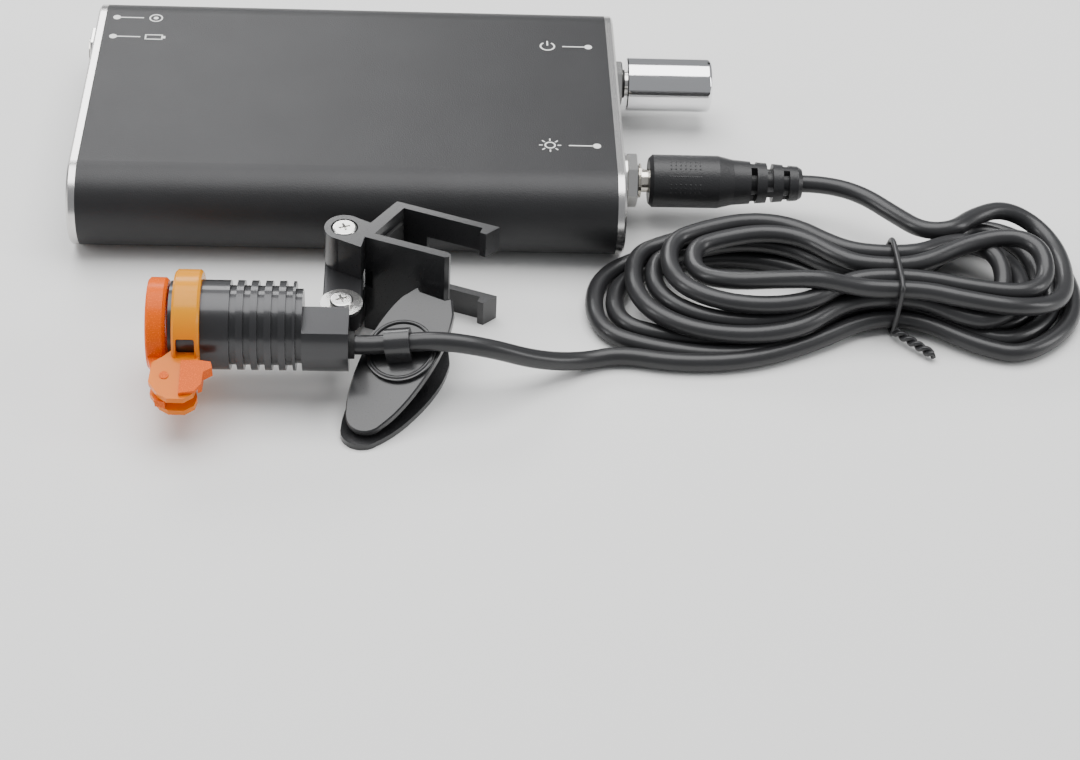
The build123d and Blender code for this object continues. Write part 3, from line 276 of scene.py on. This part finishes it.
# Right loops: tip x, tip y, back y, front y, height on the front branch, height on the back branch.
RIGHT_LOOPS = [
    (168.4, -48.0, -24.0, -72.2, 2.2, 2.2),
    (163.6, -48.0, -28.6, -67.4, 2.2, 2.2),
    (159.8, -46.6, -31.0, -62.6, 2.2, 6.5),
    (155.2, -50.8, -36.4, -65.6, 6.5, 6.5),
    (150.8, -51.0, -41.0, -61.2, 6.5, 10.4),
    (160.0, -51.0, -42.0, -60.4, 10.8, 13.2),
]


def left_loop(start, end, tip_x, tip_y, back, front, z_back, z_front):
    """Control points from a leftward strand round a left loop to the next rightward strand."""
    (y0, z0), (y1, z1) = start, end
    span = LOOP_ORIGIN - tip_x
    half = (back - front) / 2
    return [
        (WAIST_LEFT, y0, z0),
        (LOOP_ORIGIN - 0.14 * span, y0 + 0.26 * (back - y0), z0 + 0.4 * (z_back - z0)),
        (LOOP_ORIGIN - 0.32 * span, y0 + 0.86 * (back - y0), z_back),
        (LOOP_ORIGIN - 0.56 * span, back, z_back),
        (LOOP_ORIGIN - 0.82 * span, back - 0.26 * half, z_back),
        (tip_x, tip_y + 0.38 * half, z_back),
        (tip_x, tip_y - 0.48 * half, z_back),
        (LOOP_ORIGIN - 0.80 * span, front + 0.1 * half, (z_back + z_front) / 2),
        (LOOP_ORIGIN - 0.54 * span, front - 0.4, z_front),
        (LOOP_ORIGIN - 0.30 * span, y1 + 0.8 * (front - y1), z_front),
        (LOOP_ORIGIN - 0.14 * span, y1 + 0.24 * (front - y1), z1 + 0.4 * (z_front - z1)),
        (WAIST_LEFT, y1, z1),
    ]


def right_loop(start, end, tip_x, tip_y, back, front, z_front, z_back):
    """Control points from a rightward strand round a right loop to the next leftward strand."""
    (y0, z0), (y1, z1) = start, end
    half = (back - front) / 2
    shoulder = tip_x - 0.6 * half
    mid = 0.45 * WAIST_RIGHT + 0.55 * shoulder
    return [
        (WAIST_RIGHT, y0, z0),
        (mid, y0 + 0.78 * (front - y0), z0 + 0.7 * (z_front - z0)),
        (shoulder, front, z_front),
        (tip_x, tip_y - 0.44 * half, z_front),
        (tip_x, tip_y + 0.44 * half, z_back),
        (shoulder, back, z_back),
        (mid, y1 + 0.78 * (back - y1), z1 + 0.7 * (z_back - z1)),
        (WAIST_RIGHT, y1, z1),
    ]


path = [*LEAD, (WAIST_LEFT, *RIGHTWARD[0])]
for turn, (right, left) in enumerate(zip(RIGHT_LOOPS, LEFT_LOOPS)):
    path += right_loop(RIGHTWARD[turn], LEFTWARD[turn], *right)
    path += left_loop(LEFTWARD[turn], RIGHTWARD[turn + 1], *left)
path += [(WAIST_RIGHT, *RIGHTWARD[-1]), *LAST_TURN, *TAIL]
cord = curve_piece("cord_line", path, CORD_RADIUS, JACKET)
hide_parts("cord_lead", "cord_hank", "cord_tail")

# The wire tie: a loop round the waist in (y, z), leaning a little, and its two ends twisted together.
TIE_LOOP = [(-64.2, 4.4), (-63.9, 11.4), (-63.4, 14.9), (-52.0, 14.9), (-45.2, 14.6), (-43.6, 10.8),
            (-41.2, 8.0), (-41.0, 3.4), (-42.4, 0.7), (-52.0, 0.7), (-62.6, 0.7), (-64.4, 1.6)]
TIE_X, TIE_LEAN = 124.2, 0.06
TWIST_START, TWIST_RUN, TWIST_HALF_TURNS, TWIST_STEPS = (124.4, -64.4, 2.6), (8.2, -7.4, -0.9), 5, 24
TWIST_SIDE, TWIST_RISE = 0.385, 0.62
tie = curve_piece("tie_loop", [(TIE_X + TIE_LEAN * z, y, z) for y, z in TIE_LOOP], WIRE_RADIUS, JACKET,
                  closed=True)
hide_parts("cord_tie")
for strand in (0, 1):
    points = [(124.5, -63.7, 3.6 - 1.4 * strand)]
    for step in range(TWIST_STEPS + 1):
        along = step / TWIST_STEPS
        angle = (strand + along * TWIST_HALF_TURNS) * math.pi
        x, y, z = (start + along * run for start, run in zip(TWIST_START, TWIST_RUN))
        side = TWIST_SIDE * math.sin(angle)
        points.append((x + side, y + side, z + TWIST_RISE * math.cos(angle)))
    twist = curve_piece(f"tie_twist_{strand + 1}", points, WIRE_RADIUS, JACKET, resolution=4)

# ---------------------------------------------------------------- printed marks on the pack
PRINT_LOW = 0.0215  # the pack's top, in metres
PRINT_HIGH = PRINT_LOW + 0.00003
STROKE = 0.36  # width of a printed line, in millimetres


def flat_strip(name, corners):
    """A thin printed patch on the pack's top from plan points in millimetres."""
    low = [(x / 1000, y / 1000, PRINT_LOW) for x, y in corners]
    high = [(x, y, PRINT_HIGH) for x, y, _ in low]
    n = len(low)
    faces = [tuple(range(n, 2 * n)), tuple(reversed(range(n)))]
    faces += [(i, (i + 1) % n, n + (i + 1) % n, n + i) for i in range(n)]
    return mesh_piece(name, low + high, faces, PRINT)


def disc(name, x, y, radius, count=24):
    """A printed round dot."""
    turns = [2 * math.pi * i / count for i in range(count)]
    flat_strip(name, [(x + radius * math.cos(a), y + radius * math.sin(a)) for a in turns])


def bar_mark(name, x, y, dx, dy):
    """A printed bar, dx by dy, about its centre."""
    flat_strip(name, [(x - dx / 2, y - dy / 2), (x + dx / 2, y - dy / 2),
                      (x + dx / 2, y + dy / 2), (x - dx / 2, y + dy / 2)])


def leader(name, x, y, length):
    """A dot with a line that ends beside it."""
    disc(name + "_dot", x, y, 0.95)
    near, far = x + math.copysign(0.9, length), x + length
    flat_strip(name + "_line", [(near, y - STROKE / 2), (far, y - STROKE / 2),
                                (far, y + STROKE / 2), (near, y + STROKE / 2)])


def ring_mark(name, x, y, radius, width=STROKE, start=0.0, sweep=360.0, steps=28):
    """A printed ring or arc as one flat strip."""
    outer, inner = [], []
    for i in range(steps + 1):
        a = math.radians(start + sweep * i / steps)
        outer.append((x + (radius + width / 2) * math.cos(a), y + (radius + width / 2) * math.sin(a)))
        inner.append((x + (radius - width / 2) * math.cos(a), y + (radius - width / 2) * math.sin(a)))
    verts = [(px / 1000, py / 1000, z) for z in (PRINT_LOW, PRINT_HIGH) for px, py in outer + inner]
    n = steps + 1
    faces = []
    for i in range(steps):
        faces.append((i, n + i, n + i + 1, i + 1))
        faces.append((2 * n + i, 2 * n + i + 1, 3 * n + i + 1, 3 * n + i))
        faces.append((i, i + 1, 2 * n + i + 1, 2 * n + i))
        faces.append((n + i + 1, n + i, 3 * n + i, 3 * n + i + 1))
    faces.append((0, 2 * n, 3 * n, n))
    faces.append((n - 1, 2 * n - 1, 4 * n - 1, 3 * n - 1))
    mesh_piece(name, verts, faces, PRINT)


leader("mark_knob", 57.3, 20.1, -6.4)
leader("mark_output", 57.6, -21.6, -6.6)
leader("mark_charge", -59.2, 28.7, 6.6)
leader("mark_light", -59.3, 20.2, 6.6)

# plain symbols beside the leaders: power, lamp, round plug, battery
POWER_X, POWER_Y = 47.2, 20.1
ring_mark("sign_power_ring", POWER_X, POWER_Y, 1.7, 0.4, 125, 290)
bar_mark("sign_power_bar", POWER_X, POWER_Y + 1.3, 0.4, 2.0)

LAMP_X, LAMP_Y = 46.6, -21.6
ring_mark("sign_lamp_ring", LAMP_X, LAMP_Y, 1.15)
for ray in range(8):
    ca, sa = math.cos(math.radians(45 * ray)), math.sin(math.radians(45 * ray))
    flat_strip(f"sign_lamp_ray_{ray + 1}", [
        (LAMP_X + r * ca - side * sa, LAMP_Y + r * sa + side * ca)
        for r, side in ((1.75, -0.16), (2.6, -0.16), (2.6, 0.16), (1.75, 0.16))])

SOCKET_X, SOCKET_Y = -49.6, 28.7
ring_mark("sign_plug_ring", SOCKET_X, SOCKET_Y, 1.5)
disc("sign_plug_dot", SOCKET_X, SOCKET_Y, 0.6)

for name, y in (("low", 19.25), ("high", 21.15)):
    bar_mark("sign_cell_" + name, -49.4, y, 4.0, 0.34)
for name, x, dx, dy in (("left", -51.4, STROKE, 2.24), ("right", -47.4, STROKE, 2.24),
                        ("tip", -46.9, 0.6, 1.0)):
    bar_mark("sign_cell_" + name, x, 20.2, dx, dy)

# ---------------------------------------------------------------- rim of the cord swivel, socket thread
JACK_Y, JACK_Z = -20.2, 10.75
SWIVEL_CENTRE = Vector((12.9, -84.2, 10.95))
SWIVEL_NORMAL = Vector((-0.1682, -0.3164, 0.9336))
RIM_RISE = 0.72


def ring_tube(name, centre, axis, radius, tube, material, steps=72, sides=10):
    """A round bead bent into a ring about an axis, positions in millimetres."""
    axis = Vector(axis).normalized()
    u = axis.orthogonal().normalized()
    w = axis.cross(u)
    verts, faces = [], []
    for i in range(steps):
        a = 2 * math.pi * i / steps
        out = u * math.cos(a) + w * math.sin(a)
        ahead = (i + 1) % steps
        for j in range(sides):
            b = 2 * math.pi * j / sides
            point = Vector(centre) + out * (radius + tube * math.cos(b)) + axis * tube * math.sin(b)
            verts.append(point / 1000)
            beside = (j + 1) % sides
            faces.append((i * sides + j, ahead * sides + j, ahead * sides + beside, i * sides + beside))
    return mesh_piece(name, verts, faces, material, smooth=True)


rim = ring_tube("swivel_rim", SWIVEL_CENTRE + SWIVEL_NORMAL * RIM_RISE, SWIVEL_NORMAL, 7.0, 0.5, MOULDED)
for turn in range(2):
    thread = ring_tube(f"output_thread_{turn + 1}", (67.98 + 0.4 * turn, JACK_Y, JACK_Z), (1, 0, 0),
                       3.98, 0.16, NICKEL, steps=48, sides=8)

# ---------------------------------------------------------------- grip marks on the plug
GRIP_RADIUS = 6.22
GRIP_SIDES = (math.radians(125), math.radians(-55))
ROW_PITCH = 0.155  # angle between two rows
verts, faces = [], []


def pip(angle, x, size=0.28, rise=0.12):
    """One small raised pyramid on the plug's grip."""
    first = len(verts)
    for dx, da in ((-size, -1), (size, -1), (size, 1), (-size, 1)):
        a = angle + da * size / GRIP_RADIUS
        verts.append(((x + dx) / 1000, (JACK_Y + GRIP_RADIUS * math.cos(a)) / 1000,
                      (JACK_Z + GRIP_RADIUS * math.sin(a)) / 1000))
    tip = GRIP_RADIUS + rise
    verts.append((x / 1000, (JACK_Y + tip * math.cos(angle)) / 1000,
                  (JACK_Z + tip * math.sin(angle)) / 1000))
    faces.extend((first + i, first + (i + 1) % 4, first + 4) for i in range(4))


for column in range(7):
    for row in (-3, -2, -1, 3, 4, 5):
        for centre in GRIP_SIDES:
            pip(centre + row * ROW_PITCH, 75.4 + column * 1.15)
for centre in GRIP_SIDES:
    for column in range(15):
        pip(centre + ROW_PITCH, 75.2 + column * 0.52, 0.26, 0.1)
grip = mesh_piece("plug_grip", verts, faces, PLUG)

# ---------------------------------------------------------------- floor, light and camera
FLOOR_HALF = 9
mesh = bpy.data.meshes.new("floor")
mesh.from_pydata([(-FLOOR_HALF, -FLOOR_HALF, 0), (FLOOR_HALF, -FLOOR_HALF, 0),
                  (FLOOR_HALF, FLOOR_HALF, 0), (-FLOOR_HALF, FLOOR_HALF, 0)], [], [(0, 1, 2, 3)])
floor = bpy.data.objects.new("floor", mesh)
bpy.context.scene.collection.objects.link(floor)
mesh.materials.append(new_material("floor_pale", (0.78, 0.78, 0.77), 0.65, spec=0.2, wear=0.02))


def area_light(name, position, target, size, power):
    """A soft rectangular light that faces its target."""
    light = bpy.data.lights.new(name, "AREA")
    light.shape = "RECTANGLE"
    light.size, light.size_y = size
    light.energy = power
    obj = bpy.data.objects.new(name, light)
    obj.location = position
    obj.rotation_euler = (Vector(target) - Vector(position)).to_track_quat("-Z", "Y").to_euler()
    bpy.context.scene.collection.objects.link(obj)


area_light("top", (0.0, 0.12, 0.85), (0.03, -0.03, 0), (1.1, 0.8), 15)
area_light("back", (-0.25, 0.75, 0.55), (0.03, -0.03, 0), (0.6, 0.25), 4)
area_light("side", (0.85, -0.15, 0.35), (0.05, -0.03, 0), (0.2, 0.5), 2.5)
area_light("left", (-0.8, -0.25, 0.35), (0.0, -0.05, 0), (0.2, 0.5), 2.5)
world = bpy.data.worlds.new("studio")
world.use_nodes = True
world.node_tree.nodes["Background"].inputs["Color"].default_value = (0.9, 0.92, 0.95, 1)
world.node_tree.nodes["Background"].inputs["Strength"].default_value = 0.4
bpy.context.scene.world = world

CAMERA_PLACE = (0.01716, -0.47305, 0.3452)
CAMERA_RIGHT = Vector((0.9986, -0.0275, 0.0451)).normalized()
CAMERA_FORWARD = Vector((0.0505, 0.7501, -0.6594)).normalized()
CAMERA_UP = CAMERA_RIGHT.cross(CAMERA_FORWARD).normalized()
camera_data = bpy.data.cameras.new("camera")
camera_data.sensor_width = 36
camera_data.lens = 78.9
camera = bpy.data.objects.new("camera", camera_data)
turned = Matrix((CAMERA_RIGHT, CAMERA_UP, -CAMERA_FORWARD)).transposed()
camera.matrix_world = Matrix.Translation(CAMERA_PLACE) @ turned.to_4x4()
bpy.context.scene.collection.objects.link(camera)
bpy.context.scene.camera = camera
